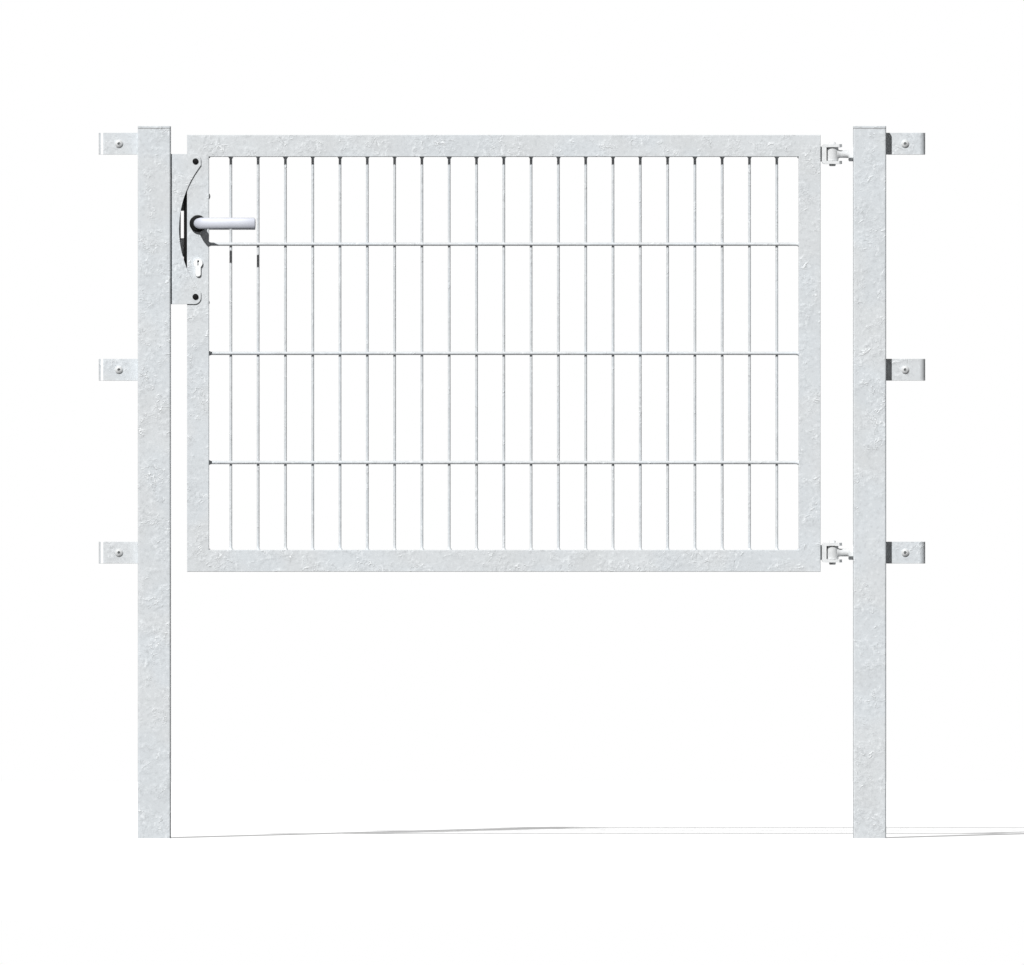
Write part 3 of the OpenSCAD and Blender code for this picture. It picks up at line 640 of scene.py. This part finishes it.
for front_y, inward in ((cylinder_low[1], 1), (cylinder_high[1], -1)):
    for across, upward in keyway_slots:
        corners = [(key_x + x, front_y + inward * y, key_z + z) for x in across
                   for y in (-overshoot, keyway_depth) for z in upward]
        cut_out(cylinder, box_mesh("keyway", corners))
finished(cylinder, nickel, "leaf", "nickel_plated", "lock_cylinder")


slot_half, slot_depth, face_screw_in = 0.0006, 0.0011, 0.012


def slotted_screw(name, seat, out, radius, height, slot_turn, body, skin, slot):
    """A pan head screw with a straight slot."""
    head = turned(name, [(0.0, 0.0)] + domed(radius, height, 0.0005), seat, out, steps=32)
    out, seat = Vector(out).normalized(), Vector(seat)
    across = (Matrix.Rotation(slot_turn, 4, out) @ out.orthogonal().normalized())
    third = out.cross(across)
    corners = [seat + across * a * radius * 1.3 + third * b * slot_half + out * (height - slot_depth + c)
               for a in (-1, 1) for b in (-1, 1) for c in (0, 0.003)]
    cut_out(head, box_mesh(name + "_slot", corners))
    return finished(head, skin, body, slot)


stile_low, stile_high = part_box("lock_stile")
face_low, face_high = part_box("lock_face_plate")
for word, z, turn, radius, height in (("upper", 1.1755, 0.2, 0.0055, 0.0026),
                                      ("lower", 0.981, 1.2, 0.0030, 0.0013)):
    slotted_screw(f"lock_case_{word}_screw", (stile_high[0], 0, z), (1, 0, 0), radius, height,
                  turn, "leaf", bright_skin, "bright_zinc")
for word, z, turn in (("upper", face_high[2] - face_screw_in, 0.6),
                      ("lower", face_low[2] + face_screw_in, -0.4)):
    slotted_screw(f"face_plate_{word}_screw", (face_low[0] + 0.0005, 0, z), (-1, 0, 0), 0.0045, 0.0016,
                  turn, "leaf", plain_steel, "plain_steel")


# Handle: round black plastic roses, and a pair of bent levers of satin
# anodised aluminium on one square spindle, each pinched by a small grub screw.
rose_black = black_stuff("black_plastic", 0.006, 0.40, 0.0011, 0.2)
for word in ("front", "rear"):
    rose = softened(f"{word}_rosette", f"{word}_rosette_ring", 0.0006, 3)
    finished(rose, rose_black, "leaf", "black_plastic", f"{word}_rosette")


def satin_aluminium(name):
    satin = Finish(name)
    soft = satin.mask(satin.noise(0.03, 2, 0.5), 0.3, 0.7)
    grain = satin.noise(0.0009, 2, 0.6, stretch=(0.08, 1, 1))
    skin = satin.blend(soft, (0.575, 0.592, 0.655, 1), (0.615, 0.632, 0.690, 1))
    return satin.surface(skin, 0.60 + 0.08 * grain, 0.22, bump=grain, strength=0.08, depth=0.0001)


satin_skin = satin_aluminium("satin_aluminium")
lever_low, lever_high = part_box("front_lever")
leaf_face_y = stile_low[1]
axis_x = (stile_low[0] + stile_high[0]) / 2
axis_z = (lever_low[2] + lever_high[2]) / 2
neck_length, bend_r, lever_reach = 0.0318, 0.0200, lever_high[0] - axis_x
neck_r, grip_height, grip_depth = 0.0073, 0.0207, 0.0115
first_lean, last_lean = math.radians(22), math.radians(-6)


neck_foot, neck_steps, bend_steps, grip_steps = 0.0006, 6, 12, 16


def lever_path():
    """Points and directions along the lever in plan, x to the free end and y away from the leaf,
    with how far the section has grown tall and oval."""
    points = []
    for i in range(neck_steps + 1):
        part = i / neck_steps
        at = (0.0, neck_foot + (neck_length - neck_foot) * part)
        points.append((at, (0.0, 1.0), 0.30 * part ** 3, 0.0))
    for i in range(1, bend_steps + 1):
        angle = (math.pi / 2 - first_lean) * i / bend_steps
        points.append(((bend_r - bend_r * math.cos(angle), neck_length + bend_r * math.sin(angle)),
                       (math.sin(angle), math.cos(angle)), min(1.0, 0.30 + 0.70 * i / 8), i / bend_steps))
    x, out = points[-1][0]
    step = (lever_reach - x) / grip_steps
    for i in range(1, grip_steps + 1):
        middle = first_lean + (last_lean - first_lean) * (i - 0.5) / grip_steps
        x, out = x + step, out + step * math.tan(middle)
        lean = first_lean + (last_lean - first_lean) * i / grip_steps
        points.append(((x, out), (math.cos(lean), math.sin(lean)), 1.0, 1.0))
    return points


def lever_section(tall, oval, scale=1.0, count=40):
    """A round neck that turns into an oval grip, as (height, thickness) pairs."""
    high = neck_r + (grip_height / 2 - neck_r) * tall
    deep = neck_r + (grip_depth / 2 - neck_r) * oval
    power = 2 / (2 + 0.15 * oval)
    ring = []
    for i in range(count):
        angle = 2 * math.pi * i / count
        c, s = math.cos(angle), math.sin(angle)
        ring.append((scale * high * math.copysign(abs(c) ** power, c),
                     scale * deep * math.copysign(abs(s) ** power, s)))
    return ring


def lever(name, mirror):
    """One lever: rings along its path, the last ones drawn in to round its free end."""
    rings = []
    path = lever_path()
    ends = ((0.0010, 1.0), (0.0004, 0.985), (0.0001, 0.95), (0.0, 0.90))
    for (x, out), (dx, dy), tall, oval in path[:-1]:
        rings.append([(axis_x + x - dy * thick, leaf_face_y - out - dx * thick, axis_z + high)
                      for high, thick in lever_section(tall, oval)])
    (x, out), (dx, dy), tall, oval = path[-1]
    for back, scale in ends:
        rings.append([(axis_x + x - back - dy * thick, leaf_face_y - out - dx * thick, axis_z + high)
                      for high, thick in lever_section(tall, oval, scale)])
    count = len(rings[0])
    points = [(p[0], -p[1] if mirror else p[1], p[2]) for ring in rings for p in ring]
    faces = [(r + i, r + (i + 1) % count, r + count + (i + 1) % count, r + count + i)
             for r in range(0, len(points) - count, count) for i in range(count)]
    faces += [tuple(range(count)), tuple(range(len(points) - count, len(points)))]
    return closed_mesh(name, points, faces)


for word, mirror in (("front", False), ("rear", True)):
    grip = lever(f"{word}_lever_grip", mirror)
    finished(grip, satin_skin, "handle", "satin_aluminium", f"{word}_lever")
dressed("handle_spindle", plain_steel)


# Stage: a white floor under the posts and white all round, with one hard sun
# from the upper left in front of the gate, as in the photograph.
floor_mesh = bpy.data.meshes.new("floor")
floor_mesh.from_pydata([(-9, -9, 0), (10.3, -9, 0), (10.3, 9, 0), (-9, 9, 0)], [], [(0, 1, 2, 3)])
floor = mesh_object("floor", floor_mesh)
pale_floor = bpy.data.materials.new("pale_floor")
pale_floor.use_nodes = True
pale = Tree(pale_floor.node_tree)
pale.made.nodes.clear()
seen = pale.node("ShaderNodeLightPath", output="Is Camera Ray")
matt = pale.node("ShaderNodeBsdfDiffuse", {}, {"Color": (0.80, 0.80, 0.80, 1)})
dim = pale.node("ShaderNodeBsdfDiffuse", {}, {"Color": (0.14, 0.14, 0.14, 1)})
glow = pale.node("ShaderNodeEmission", {}, {"Color": (1, 1, 1, 1), "Strength": 0.42})
both = pale.node("ShaderNodeAddShader", {}, {0: matt, 1: glow})
mixed = pale.node("ShaderNodeMixShader", {}, {0: seen, 1: dim, 2: both})
pale.node("ShaderNodeOutputMaterial", {}, {"Surface": mixed})
floor_mesh.materials.append(pale_floor)

world = bpy.data.worlds.new("white_surround")
bpy.context.scene.world = world
world.use_nodes = True
air = Tree(world.node_tree)
air.made.nodes.clear()
camera_ray = air.node("ShaderNodeLightPath", output="Is Camera Ray")
glossy_ray = air.node("ShaderNodeLightPath", output="Is Glossy Ray")
clear_ray = air.node("ShaderNodeLightPath", output="Is Transmission Ray")
seen = air.node("ShaderNodeMath", {"operation": "MAXIMUM"}, {0: camera_ray, 1: clear_ray})
seen = air.node("ShaderNodeMath", {"operation": "MAXIMUM"}, {0: seen, 1: glossy_ray})
soft_light = 0.09
strength = soft_light + (1 - soft_light) * seen
sky = air.node("ShaderNodeBackground", {}, {"Color": (1, 1, 1, 1), "Strength": strength})
air.node("ShaderNodeOutputWorld", {}, {"Surface": sky})

sun_ray = Vector((0.485, 1.0, -0.836))
sun_data = bpy.data.lights.new("sun", "SUN")
sun_data.energy = 4.25
sun_data.angle = math.radians(0.6)
sun = bpy.data.objects.new("sun", sun_data)
bpy.context.scene.collection.objects.link(sun)
sun.rotation_euler = sun_ray.to_track_quat("-Z", "Y").to_euler()

# The photograph was taken from far away with a long lens, level with the
# middle of the gate. One pixel of its 1024 is 1.831 mm at the gate's face.
mm_per_pixel, pixels_wide, sensor = 1.831, 1024, 36.0
distance, face_y, eye_height = 48.0, -0.02, 0.6514
gate_middle = (cad_box[0][0] + cad_box[1][0]) / 2
camera_data = bpy.data.cameras.new("camera")
camera_data.sensor_width = sensor
camera_data.lens = sensor * distance / (mm_per_pixel * pixels_wide / 1000)
camera_data.clip_end = 100
camera = bpy.data.objects.new("camera", camera_data)
bpy.context.scene.collection.objects.link(camera)
camera.location = (gate_middle, face_y - distance, eye_height)
camera.rotation_euler = (math.pi / 2, 0, 0)
bpy.context.scene.camera = camera
bpy.context.scene.view_settings.view_transform = "Standard"
